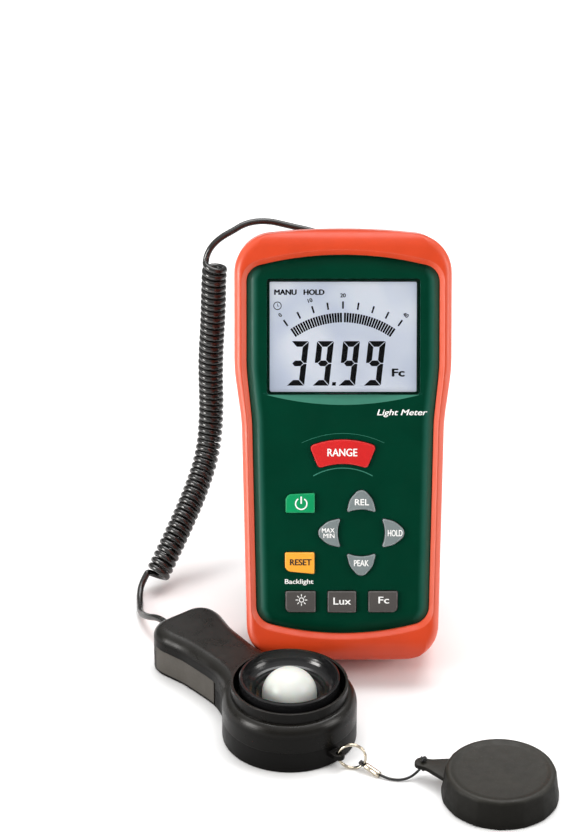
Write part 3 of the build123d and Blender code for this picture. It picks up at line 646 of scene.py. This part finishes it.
# ---------------------------------------------------------------- curly cord
WIRE_RADIUS = 1.17 * MM
COIL_RADIUS = 4.65 * MM
COIL_PITCH = 2.50 * MM
EASE = 3.0 * MM           # how far into the coil the turning takes to reach its full rate
RAMP = 15.0 * MM          # how far out of the coil a lead leaves the middle
CORD_STEP = 0.1 * MM
LEAD_STEPS = 8            # how many steps lie between the points of a straight lead
UNEVEN = 0.02             # share of the coil's radius by which its turns differ
UPPER_LEAD = (
    (-0.0050, 0.0727, 0.1239), (-0.0053, 0.0786, 0.1236), (-0.0102, 0.0832, 0.1234),
    (-0.0180, 0.0846, 0.1246), (-0.0270, 0.0842, 0.1272), (-0.0356, 0.0814, 0.1270),
    (-0.0426, 0.0776, 0.1222),
)
COIL_PATH = (
    (-0.0454, 0.0750, 0.1150), (-0.0459, 0.0752, 0.0940), (-0.0473, 0.0758, 0.0730),
    (-0.0469, 0.0754, 0.0540), (-0.0482, 0.0706, 0.0390), (-0.0526, 0.0606, 0.0286),
    (-0.0584, 0.0494, 0.0194), (-0.0636, 0.0412, 0.0114), (-0.0673, 0.0366, 0.0050),
)
LOWER_LEAD = (
    (-0.0706, 0.0326, 0.0023), (-0.0726, 0.0263, 0.0014), (-0.0722, 0.0186, 0.0020),
    (-0.0692, 0.0106, 0.0055), (-0.06486, 0.0048, 0.0090), (-0.06213, 0.00135, 0.0090),
)


def smooth(t):
    t = min(1, max(0, t))
    return t * t * (3 - 2 * t)


def curly_line():
    """The wire's centreline: a lead, a helix about the route, and a lead. Each lead slides out
    to the coil's left side, where the turning starts and ends."""
    route, length = evenly(spline_points("cord_route", UPPER_LEAD + COIL_PATH + LOWER_LEAD),
                           CORD_STEP)
    frames = carried_frames(route)
    step = length / (len(route) - 1)
    first, last = (min(range(len(route)), key=lambda i: (route[i] - Vector(place)).length)
                   for place in (COIL_PATH[0], COIL_PATH[-1]))
    coil_length = (last - first) * step
    phases = []
    for i in (first, last):
        _, side, up = frames[i]
        phases.append(math.atan2(-up.x, -side.x))
    shares = []
    for i in range(len(route)):
        s = (i - first) * step
        shares.append(smooth(s / EASE) * smooth((coil_length - s) / EASE))
    turns = round(sum(shares) * step / COIL_PITCH)
    turning = 2 * math.pi * turns + (phases[0] - phases[1]) % (2 * math.pi)
    points = []
    turned = 0.0
    for i, centre in enumerate(route):
        s = (i - first) * step
        angle = phases[0] - turning * turned / sum(shares)
        turned += shares[i]
        out = smooth((s + RAMP) / RAMP) * smooth((coil_length - s + RAMP) / RAMP)
        if out == 0 and i % LEAD_STEPS and i != len(route) - 1:
            continue
        _, side, up = frames[i]
        uneven = 1 + UNEVEN * noise.noise(Vector((s / (3 * COIL_PITCH), 0.4, 0.7)))
        offset = side * math.cos(angle) + up * math.sin(angle)
        point = centre + offset * ((COIL_RADIUS - WIRE_RADIUS) * out * uneven)
        point.z = max(point.z, WIRE_RADIUS)      # the lower lead lies on the desk
        points.append(point)
    return points, turns


def make_curly_cord():
    points, turns = curly_line()
    bm = tube(points, WIRE_RADIUS, 10)
    cord = add_piece("curly_cord", mesh_from(bm, "curly_cord", 60), Matrix.Identity(4),
                     M["cord"])
    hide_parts("cord_upper_lead", "cord_coil", "cord_lower_lead")
    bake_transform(cord)


make_curly_cord()


# ---------------------------------------------------------------- lanyard
STRING_RADIUS = 0.45 * MM
STRING_STEP = 0.35 * MM
IN_FERRULE = ((0.00545, -0.07380, 0.00300),)
LANYARD = (
    (0.00689, -0.07529, 0.00224), (0.0108, -0.0785, 0.00125), (0.0142, -0.0805, 0.00062),
    (0.0182, -0.0814, 0.00060), (0.0218, -0.0807, 0.00120), (0.02475, -0.07932, 0.0032),
)


def make_lanyard():
    """The string: out of the ferrule, along the desk and up through the tab's hole."""
    through_tab = ((knot.x, knot.y, 0.0056), (knot.x, knot.y, 0.0076))
    line = spline_points("lanyard_route", IN_FERRULE + LANYARD + through_tab)
    route, _ = evenly(line, STRING_STEP)
    string = add_piece("lanyard", mesh_from(tube(route, STRING_RADIUS, 10), "lanyard", 60),
                       Matrix.Identity(4), M["string"])
    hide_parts("lanyard_cord")
    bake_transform(string)


make_lanyard()


# ---------------------------------------------------------------- display
LCD_TOP = 31.9
MASK_LOW = 32.93
MASK_HIGH = 32.98
FACE_TOP = 34.2
KEY_TOP = 35.3
PRINT = 0.04              # thickness of printed ink
ARC_CENTRE = (0.0, 89.3)


def on_arc(radius, degrees):
    """A point on the display's arc at an angle from straight up, clockwise."""
    angle = math.radians(degrees)
    return ARC_CENTRE[0] + radius * math.sin(angle), ARC_CENTRE[1] + radius * math.cos(angle)


def sector(r0, r1, a0, a1):
    """A four-cornered piece of a ring."""
    return [on_arc(r0, a0), on_arc(r0, a1), on_arc(r1, a1), on_arc(r1, a0)]


def flat_shape(points, low, thickness=PRINT):
    return extrude_outline(points, low, low + thickness)


BARS = 20                 # on each side of the middle
BARS_START = 0.45         # degrees from the middle
BARS_SPAN = 34.4          # degrees
BAR_SHARE = 0.76          # of the pitch
BAR_RING = (28.7, 32.0)
TICK_RING = (33.4, 35.9)
TICKS = 4                 # on each side of the middle one
TICK_PITCH = 8.7          # degrees
TICK_HALF = 0.5           # degrees
FIGURE_RADIUS = 38.0


def bar_graph():
    """Two sides of bars about a gap in the middle, under a row of ticks."""
    pitch = BARS_SPAN / BARS
    shapes = []
    for side in (-1, 1):
        for i in range(BARS):
            middle = side * (BARS_START + pitch * (i + 0.5))
            half = pitch * BAR_SHARE / 2
            shapes.append(flat_shape(sector(*BAR_RING, middle - half, middle + half), LCD_TOP))
    for i in range(-TICKS, TICKS + 1):
        middle = i * TICK_PITCH
        outline = sector(*TICK_RING, middle - TICK_HALF, middle + TICK_HALF)
        shapes.append(flat_shape(outline, LCD_TOP))
    return shapes


DIGIT_BOTTOM = 96.1
DIGIT_TOP = 111.5
DIGIT_SLANT = 1.7
STROKE = 1.95
MITRE = 0.16
DIGIT_SEGMENTS = {"3": "abcdg", "9": "abcdfg"}
DIGITS = (("3", -19.5, -13.4), ("9", -10.6, -4.8), ("9", -1.6, 4.2), ("9", 7.1, 13.1))


def segment_outlines(width, height):
    """The seven segments of an upright digit, as outlines from its lower left corner."""
    t, g, m = STROKE, MITRE, height / 2
    h = t / 2
    return {
        "a": [(g, height), (width - g, height), (width - t - g, height - t), (t + g, height - t)],
        "b": [(width, height - g), (width, m + g), (width - h, m + g), (width - t, m + h + g),
              (width - t, height - t - g)],
        "c": [(width, g), (width - t, t + g), (width - t, m - h - g), (width - h, m - g),
              (width, m - g)],
        "d": [(g, 0), (t + g, t), (width - t - g, t), (width - g, 0)],
        "e": [(0, g), (0, m - g), (h, m - g), (t, m - h - g), (t, t + g)],
        "f": [(0, m + g), (0, height - g), (t, height - t - g), (t, m + h + g), (h, m + g)],
        "g": [(h + g, m), (t + g * 0.6, m + h), (width - t - g * 0.6, m + h), (width - h - g, m),
              (width - t - g * 0.6, m - h), (t + g * 0.6, m - h)],
    }


def digits():
    height = DIGIT_TOP - DIGIT_BOTTOM
    shapes = []
    for figure, x0, x1 in DIGITS:
        outlines = segment_outlines(x1 - x0, height)
        for name in DIGIT_SEGMENTS[figure]:
            points = [(x0 + x + DIGIT_SLANT * y / height, DIGIT_BOTTOM + y)
                      for x, y in outlines[name]]
            shapes.append(flat_shape(points, LCD_TOP))
    dot = [(-3.8, 96.1), (-2.5, 96.1), (-2.35, 97.3), (-3.65, 97.3)]
    shapes.append(flat_shape(dot, LCD_TOP))
    return shapes


def ring_bm(x, v, radius, width, low, a0=0.0, a1=360.0):
    """A flat ring, or part of one, round a point."""
    steps = 48
    bm = bmesh.new()
    rows = []
    for i in range(steps + 1):
        angle = math.radians(a0 + (a1 - a0) * i / steps)
        row = []
        for r in (radius - width / 2, radius + width / 2):
            for w in (low, low + PRINT):
                row.append(bm.verts.new((x + r * math.sin(angle), v + r * math.cos(angle), w)))
        rows.append(row)
    whole = abs(a1 - a0) >= 360
    if whole:
        for vert in rows[-1]:
            bm.verts.remove(vert)
        rows[-1] = rows[0]
    for a, b in zip(rows, rows[1:]):
        for i, j in ((0, 1), (1, 3), (3, 2), (2, 0)):
            bm.faces.new((a[i], a[j], b[j], b[i]))
    if not whole:
        for row in (rows[0], rows[-1]):
            bm.faces.new((row[0], row[1], row[3], row[2]))
    return bm


MERGE = 1e-5
COPY_LIFT = 0.008         # between the copies that make bold strokes, so no two faces coincide


def lettering(text, box, low, bold, shear=0.0, turn=0.0):
    """Text as a bmesh that fills box (x0, v0, x1, v1), or is centred at (x, v, height). Its bold
    strokes come from copies that are shifted by a share of the height."""
    curve = bpy.data.curves.new("text", "FONT")
    curve.body = text
    curve.shear = shear
    curve.extrude = 0.02
    curve.resolution_u = 4
    obj = bpy.data.objects.new("text", curve)
    bpy.context.scene.collection.objects.link(obj)
    bpy.context.view_layer.update()
    graph = bpy.context.evaluated_depsgraph_get()
    mesh = bpy.data.meshes.new_from_object(obj.evaluated_get(graph))
    bm = bmesh.new()
    bm.from_mesh(mesh)
    bpy.data.objects.remove(obj)
    bpy.data.meshes.remove(mesh)
    bmesh.ops.remove_doubles(bm, verts=bm.verts, dist=MERGE)
    xs = [v.co.x for v in bm.verts]
    ys = [v.co.y for v in bm.verts]
    width, height = max(xs) - min(xs), max(ys) - min(ys)
    if len(box) == 4:
        x0, v0, x1, v1 = box
        scale_x, scale_y = (x1 - x0) / width, (v1 - v0) / height
        centre = ((x0 + x1) / 2, (v0 + v1) / 2)
    else:
        scale_x = scale_y = box[2] / height
        centre = box[:2]
    spin = math.radians(-turn)
    for vert in bm.verts:
        x = (vert.co.x - (max(xs) + min(xs)) / 2) * scale_x
        y = (vert.co.y - (max(ys) + min(ys)) / 2) * scale_y
        vert.co = (centre[0] + x * math.cos(spin) - y * math.sin(spin),
                   centre[1] + x * math.sin(spin) + y * math.cos(spin),
                   low + (PRINT if vert.co.z > 0 else 0))
    shift = bold * height * scale_y
    copies = []
    for layer, (dx, dy) in enumerate(((-shift, 0), (shift, 0), (0, -shift / 2), (0, shift / 2))):
        copy = bm.copy()
        bmesh.ops.translate(copy, verts=copy.verts, vec=(dx, dy, COPY_LIFT * layer))
        copies.append(copy)
    bm.free()
    return join(copies)


def lcd_words():
    """The words at the top and right, the figures round the arc, and a small clock."""
    shapes = [
        lettering("MANU", (-23.6, 127.5, -16.1, 129.3), LCD_TOP, 0.08),
        lettering("HOLD", (-13.5, 127.5, -6.5, 129.3), LCD_TOP, 0.08),
        lettering("Fc", (17.1, 99.3, 21.2, 101.9), LCD_TOP, 0.08),
    ]
    for text, ticks in (("0", -4), ("10", -2), ("20", 0), ("40", 4)):
        degrees = ticks * TICK_PITCH
        x, v = on_arc(FIGURE_RADIUS, degrees)
        shapes.append(lettering(text, (x, v, 1.35), LCD_TOP, 0.06, turn=degrees))
    shapes.append(ring_bm(-22.6, 123.7, 1.3, 0.28, LCD_TOP))
    shapes.append(flat_shape([(-22.7, 123.6), (-22.5, 123.6), (-22.5, 124.5), (-22.7, 124.5)],
                             LCD_TOP))
    shapes.append(flat_shape([(-22.6, 123.5), (-22.0, 123.5), (-22.0, 123.7), (-22.6, 123.7)],
                             LCD_TOP))
    return shapes


def rounded_box(x0, v0, x1, v1, radius):
    return rounded([(x0, v0), (x1, v0), (x1, v1), (x0, v1)], [radius] * 4)


def make_segments():
    shapes = bar_graph() + digits() + lcd_words()
    add_piece("lcd_segments", mesh_from(join(shapes), "lcd_segments"), METER, M["segment"],
              "meter")


def make_window_border_and_shadow():
    """The dark band under the window's rim: printed, and wider at the top as a painted shadow of
    the recess.
    """
    inner = rounded_box(-25.6, 93.9, 25.4, 132.0, 0.5)
    outer = rounded_box(-26.15, 93.25, 26.45, 133.05, 1.0)
    bm = bmesh.new()
    layers = []
    for w in (MASK_LOW, MASK_HIGH):
        layers.append([[bm.verts.new((x, v, w)) for x, v in ring] for ring in (outer, inner)])
    for k in range(len(outer)):
        j = (k + 1) % len(outer)
        (lo_out, lo_in), (hi_out, hi_in) = layers
        bm.faces.new((hi_out[k], hi_out[j], hi_in[j], hi_in[k]))
        bm.faces.new((lo_out[k], lo_in[k], lo_in[j], lo_out[j]))
        bm.faces.new((lo_out[k], lo_out[j], hi_out[j], hi_out[k]))
        bm.faces.new((lo_in[k], hi_in[k], hi_in[j], lo_in[j]))
    add_piece("window_border_and_shadow", mesh_from(bm, "window_border_and_shadow"), METER, M["mask"], "meter")


make_segments()
make_window_border_and_shadow()


# ---------------------------------------------------------------- printing on face and keys
def print_on(name, shapes, body, colour="white_ink"):
    add_piece(name, mesh_from(join(shapes), name), METER, M[colour], body)


def sun_shapes(x, v, low):
    """A small ring with eight rays."""
    shapes = [ring_bm(x, v, 0.75, 0.3, low)]
    for k in range(8):
        angle = math.radians(45 * k)
        along = Vector((math.sin(angle), math.cos(angle)))
        side = Vector((along.y, -along.x)) * 0.15
        a, b = Vector((x, v)) + along * 1.2, Vector((x, v)) + along * 2.0
        shapes.append(flat_shape([tuple(a + side), tuple(b + side), tuple(b - side),
                                  tuple(a - side)], low))
    return shapes


def words_on(name, body, *words, low=KEY_TOP, bold=0.03, shear=0.0, colour="white_ink"):
    """Prints words on a body, each in its box (x0, v0, x1, v1)."""
    print_on(name, [lettering(text, box, low, bold, shear) for text, box in words], body, colour)


def power_shapes(x, v, low):
    """An open ring with a bar through its gap."""
    bar = [(x - 0.25, v), (x + 0.25, v), (x + 0.25, v + 2.5), (x - 0.25, v + 2.5)]
    return [ring_bm(x, v, 1.95, 0.45, low, 32, 328), flat_shape(bar, low)]


def make_printing():
    words_on("face_title", "meter", ("Light Meter", (11.8, 85.4, 29.1, 88.0)),
             low=FACE_TOP, bold=0.025, shear=0.25)
    words_on("backlight_label", "meter", ("Backlight", (-20.0, 26.9, -10.2, 29.0)), low=FACE_TOP)
    words_on("range_label", "key_range", ("RANGE", (-5.3, 71.9, 4.9, 74.5)))
    print_on("power_label", power_shapes(-14.4, 55.4, KEY_TOP), "key_power")
    words_on("reset_label", "key_reset", ("RESET", (-18.2, 34.0, -10.9, 36.1)), bold=0.05,
             colour="black_ink")
    words_on("relative_label", "key_relative", ("REL", (4.2, 54.9, 9.0, 57.0)))
    words_on("max_min_label", "key_max_min", ("MAX", (-7.2, 45.4, -2.9, 46.9)),
             ("MIN", (-6.7, 43.5, -2.9, 45.0)))
    words_on("hold_label", "key_hold", ("HOLD", (15.6, 44.1, 20.6, 46.3)))
    words_on("peak_label", "key_peak", ("PEAK", (3.9, 33.7, 9.0, 35.8)))
    print_on("sun_label", sun_shapes(-14.3, 21.9, KEY_TOP), "key_backlight")
    words_on("lux_label", "key_lux", ("Lux", (-3.2, 20.3, 2.8, 22.7)))
    words_on("footcandle_label", "key_footcandle", ("Fc", (12.4, 20.7, 16.0, 23.0)))


make_printing()


# ---------------------------------------------------------------- face details
SILL_TIP = 89.6
SILL_SLOPE = 1.2 / 3.5     # drop per length, from the tip up to the window
SILL_R = 311.0
SILL_TOP = 93.05
SILL_LIFT = 0.06          # above the case's own slope
SILL_SKIN = 0.08
RECESS_CENTRE = (0.0, 47.2)


def make_sill():
    """The crescent that slopes down to the window's lower edge, paler than the face as a painted
    highlight.
    """
    bm = bmesh.new()
    rows = []
    across, up = 48, 6
    lean = math.sqrt(1 + SILL_SLOPE ** 2)
    half = math.sqrt(2 * SILL_R * (SILL_TOP - SILL_TIP) * SILL_SLOPE / lean)
    for i in range(across + 1):
        x = half * (2 * i / across - 1)
        rise = x * x / (2 * SILL_R) * lean
        edge = SILL_TIP + rise / SILL_SLOPE
        row = []
        for k in range(up + 1):
            v = edge + (SILL_TOP - edge) * k / up
            w = FACE_TOP - (v - SILL_TIP) * SILL_SLOPE + rise + SILL_LIFT
            row.append((bm.verts.new((x, v, w)), bm.verts.new((x, v, w - SILL_SKIN))))
        rows.append(row)
    for a, b in zip(rows, rows[1:]):
        for k in range(up):
            bm.faces.new((a[k][0], b[k][0], b[k + 1][0], a[k + 1][0]))
            bm.faces.new((a[k][1], a[k + 1][1], b[k + 1][1], b[k][1]))
        bm.faces.new((a[0][0], a[0][1], b[0][1], b[0][0]))
        bm.faces.new((a[up][0], b[up][0], b[up][1], a[up][1]))
    for row in (rows[0], rows[-1]):
        for k in range(up):
            bm.faces.new((row[k][0], row[k + 1][0], row[k + 1][1], row[k][1]))
    add_piece("window_sill", mesh_from(bm, "window_sill"), METER, M["bevel"], "meter")


def make_recess_highlight_lines():
    """Thin pale arcs that paint highlights on the moulded edges above and below the wide
    key at the top of the keypad.
    """
    x, v = RECESS_CENTRE
    arcs = [ring_bm(x, v, 32.5, 0.12, FACE_TOP, -26, 26),
            ring_bm(x, v, 20.5, 0.34, FACE_TOP, -30, 30)]
    add_piece("recess_highlight_lines", mesh_from(join(arcs), "recess_highlight_lines"), METER, M["line"], "meter")


make_sill()
make_recess_highlight_lines()


# ---------------------------------------------------------------- ring, ferrule, knots and cap
RING_TURN = math.radians(-8)
RING_RADIUS = 4.6
RING_WIRE = 0.42
RING_TURNS = 1.95
RING_SPREAD = 2.15 * RING_WIRE      # between the middles of the two turns' ends


def make_split_ring():
    """Two close turns of wire, with blunt ends that lie against the next turn."""
    low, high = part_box("split_ring")
    place = Matrix.Translation((low + high) / 2) @ Matrix.Rotation(RING_TURN, 4, "Z")
    place = place @ Matrix.Rotation(math.pi / 2, 4, "X") @ Matrix.Scale(MM, 4)
    steps = 150
    points = []
    for i in range(steps + 1):
        share = i / steps
        angle = 2 * math.pi * RING_TURNS * share + 0.6
        x, y = RING_RADIUS * math.cos(angle), RING_RADIUS * math.sin(angle)
        points.append(Vector((x, y, (share - 0.5) * RING_SPREAD)))
    ring = add_piece("key_ring", mesh_from(tube(points, RING_WIRE, 12), "key_ring", 50), place,
                     M["nickel"], "sensor")
    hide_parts("split_ring")


FERRULE_BORE = 0.42
FERRULE_RADIUS = 1.14
FERRULE_HALF = 3.1        # half its length


def make_ferrule():
    """The sleeve between the ring and the string, pressed a little flatter in its middle."""
    low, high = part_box("lanyard_ferrule")
    centre = (low + high) / 2
    along = (Vector(LANYARD[0]) - centre).normalized()
    place = Matrix.Translation(centre) @ along.to_track_quat("Z", "Y").to_matrix().to_4x4()
    upper = [(FERRULE_RADIUS, height) for height in (0.6, 1.2, 2.6)]
    upper += [(1.1, 2.95), (0.95, FERRULE_HALF), (FERRULE_BORE, FERRULE_HALF)]
    lower = [(radius, -height) for radius, height in reversed(upper)]
    profile = lower + [(FERRULE_RADIUS, 0.0)] + upper

    def pressed(angle, radius, height):
        dent = 0.07 * smooth(1.2 - abs(height))
        return radius * (1 - dent * math.cos(angle) ** 2)

    bm = lathe(profile, 40, pressed)
    sleeve = add_piece("crimp_sleeve", mesh_from(bm, "crimp_sleeve", 40),
                       place @ Matrix.Scale(MM, 4), M["nickel"], "sensor")
    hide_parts("lanyard_ferrule")


def make_knots():
    """A tight overhand knot on each side of the tab."""
    steps = 72
    bms = []
    for z, turn in ((knot_low.z + 1.0 * MM, 0.4), (knot_high.z - 1.0 * MM, 1.7)):
        points = []
        for i in range(steps):
            t = 2 * math.pi * i / steps
            points.append(Vector((math.sin(t) + 2 * math.sin(2 * t),
                                  math.cos(t) - 2 * math.cos(2 * t), -1.6 * math.sin(3 * t))))
        place = Matrix.Translation((knot.x, knot.y, z)) @ Matrix.Rotation(turn, 4, "Z")
        bm = tube([p * 0.27 for p in points], 0.43, 8, closed=True)
        bm.transform(place @ Matrix.Scale(MM, 4))
        bms.append(bm)
    knots = add_piece("string_knots", mesh_from(join(bms), "string_knots", 60),
                      Matrix.Identity(4), M["string"], "cap")
    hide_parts("lanyard_knots")


CAP_FACETS = 15
FACET_SHARE = 0.35        # how far the side goes from round to flat facets
TAB_REACH = 27.6
TAB_Z = 5.75
TAB_THICK = 1.6


def make_cap():
    """The rubber cap: softly faceted side, rounded shoulder, a shallow dish on top and a tab."""
    r, h = CAP_RADIUS, CAP_HEIGHT
    profile = [(0, h - 0.55), (14.5, h - 0.55), (15.6, h - 0.45), (16.2, h - 0.15), (16.7, h),
               (17.3, h), (17.9, h - 0.25), (18.3, h - 0.7), (18.5, h - 1.4),
               (r - 0.35, 3.0), (r, 1.1), (r, 0.5), (r - 0.25, 0.12), (r - 0.7, 0.0), (17.6, 0.0),
               (17.4, 0.4), (17.2, h - 2.4), (0, h - 2.4)]

    def faceted(angle, radius, height):
        if radius < 18.2:
            return radius
        part = math.pi / CAP_FACETS
        off = (angle + part) % (2 * part) - part
        flat = radius * math.cos(part) / math.cos(off)
        return radius + (flat - radius) * FACET_SHARE

    body = lathe(profile, 300, faceted)
    root, tip = r - 2.2, TAB_REACH + 2.3
    outline = [(root, -6.2), (TAB_REACH - 2.5, -2.5), (tip, -2.3), (tip, 2.3),
               (TAB_REACH - 2.5, 2.5), (root, 6.2)]
    tab = extrude_outline(rounded(outline, [0, 4.0, 2.1, 2.1, 4.0, 0]), TAB_Z - TAB_THICK / 2,
                          TAB_Z + TAB_THICK / 2, 0.35)
    cap = add_piece("rubber_cap", mesh_from(join([body, tab]), "rubber_cap", 40), CAP, M["cap"],
                    "cap")
    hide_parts("sensor_cap")


make_split_ring()
make_ferrule()
make_knots()
make_cap()


# ---------------------------------------------------------------- room
def make_room():
    bm = bmesh.new()
    bmesh.ops.create_grid(bm, x_segments=8, y_segments=8, size=2.5)
    mesh = bpy.data.meshes.new("floor")
    bm.to_mesh(mesh)
    bm.free()
    floor = bpy.data.objects.new("floor", mesh)
    bpy.context.scene.collection.objects.link(floor)
    n = Nodes("floor_paper")
    n.set(Base_Color=n.ramp(n.noise(400, 2), [(0.3, (0.93, 0.93, 0.93, 1)),
                                              (0.7, (0.95, 0.95, 0.95, 1))]), Roughness=0.9)
    mesh.materials.append(n.material)
    world = bpy.data.worlds.new("room")
    world.use_nodes = True
    tree = world.node_tree
    aim = tree.nodes.new("ShaderNodeTexCoord")
    split = tree.nodes.new("ShaderNodeSeparateXYZ")
    sky = tree.nodes.new("ShaderNodeValToRGB")
    tree.links.new(aim.outputs["Generated"], split.inputs["Vector"])
    tree.links.new(split.outputs["Z"], sky.inputs["Fac"])
    elements = sky.color_ramp.elements
    elements[0].position, elements[0].color = 0.32, (0.28, 0.28, 0.28, 1)
    elements[1].position, elements[1].color = 0.85, (1, 1, 1, 1)
    tree.links.new(sky.outputs["Color"], tree.nodes["Background"].inputs["Color"])
    tree.nodes["Background"].inputs["Strength"].default_value = 0.90
    bpy.context.scene.world = world


def soft_light(name, place, target, size, watts, colour=(1, 1, 1)):
    data = bpy.data.lights.new(name, "AREA")
    data.shape = "RECTANGLE"
    data.size, data.size_y = size
    data.energy = watts
    data.color = colour
    light = bpy.data.objects.new(name, data)
    light.location = place
    light.rotation_mode = "QUATERNION"
    light.rotation_quaternion = (Vector(target) - Vector(place)).to_track_quat("-Z", "Y")
    bpy.context.scene.collection.objects.link(light)


make_room()
soft_light("top_light", (0.10, 0.45, 1.30), (0, 0, 0.03), (1.1, 0.9), 14)
soft_light("left_light", (-0.90, -0.42, 0.30), (0, 0, 0.06), (0.35, 0.5), 9, (1, 0.98, 0.95))
soft_light("right_light", (0.95, -0.30, 0.40), (0, 0, 0.06), (0.4, 0.6), 5, (1, 0.98, 0.95))
bpy.context.scene.view_settings.view_transform = "Standard"
